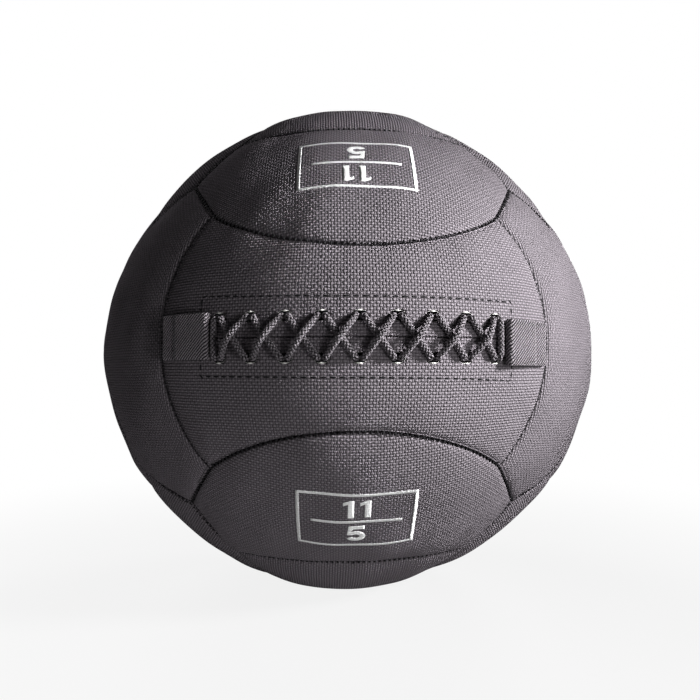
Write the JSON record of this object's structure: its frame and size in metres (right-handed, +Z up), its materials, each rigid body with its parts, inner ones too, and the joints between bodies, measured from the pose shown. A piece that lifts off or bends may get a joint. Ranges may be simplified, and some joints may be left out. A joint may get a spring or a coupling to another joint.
{
  "type": "wall ball",
  "caption": "Soft stuffed ball for throwing at a wall: sewn fabric panels, a slit closed by crossed lacing, and a folded webbing tab at each end of the lacing.",
  "frame": {"origin": "middle of the small flat on the bottom panel that the ball rests on", "axes": "+Z up, the laced panel faces -Y, the lacing runs along X"},
  "size_m": [0.35, 0.3575, 0.342],
  "materials": {
    "cover_fabric": "coarse matt plain weave, charcoal",
    "tab_webbing": "matt twill webbing",
    "lace_cord": "braided cord",
    "thread": "black sewing thread",
    "backing_fabric": "plain cloth",
    "lining_fabric": "thin plain cloth",
    "foam": "soft open foam",
    "wadding": "packed textile fibre",
    "calico": "plain cotton",
    "tie_cord": "twisted cord",
    "granules": "fine dull granules"
  },
  "bodies": {
    "ball": {"front_laced_panel": "cover_fabric", "rear_strip_panel": "cover_fabric", "right_strip_panel": "cover_fabric", "left_strip_panel": "cover_fabric", "top_strip_panel": "cover_fabric", "bottom_strip_panel": "cover_fabric", "front_upper_lens_panel": "cover_fabric", "front_lower_lens_panel": "cover_fabric", "rear_upper_lens_panel": "cover_fabric", "rear_lower_lens_panel": "cover_fabric", "right_front_lens_panel": "cover_fabric", "right_rear_lens_panel": "cover_fabric", "left_front_lens_panel": "cover_fabric", "left_rear_lens_panel": "cover_fabric", "top_right_lens_panel": "cover_fabric", "top_left_lens_panel": "cover_fabric", "bottom_right_lens_panel": "cover_fabric", "bottom_left_lens_panel": "cover_fabric", "lacing_backing_patch": "backing_fabric", "closing_lace": "lace_cord", "lacing_box_stitching": "thread", "left_tab_sewn_end": "tab_webbing", "left_tab_stitching": "thread", "right_tab_sewn_end": "tab_webbing", "right_tab_stitching": "thread", "inner_lining_bag": "lining_fabric", "upper_foam_shell": "foam", "lower_foam_shell": "foam", "upper_wadding": "wadding", "lower_wadding": "wadding", "weight_bag": "calico", "weight_bag_tie": "tie_cord", "weight_fill": "granules"},
    "left_tab": {"left_tab_flap": "tab_webbing"},
    "right_tab": {"right_tab_flap": "tab_webbing"}
  },
  "joints": [
    {"name": "left_tab_lift", "type": "hinge", "parent": "ball", "child": "left_tab", "pos_m": [-0.09519, -0.14492, 0.1697], "axis": [0, 0, -1], "range_deg": [0, 80], "stiffness_Nm_per_rad": 0.01},
    {"name": "right_tab_lift", "type": "hinge", "parent": "ball", "child": "right_tab", "pos_m": [0.09519, -0.14492, 0.1697], "axis": [0, 0, 1], "range_deg": [0, 80], "stiffness_Nm_per_rad": 0.01}
  ]
}
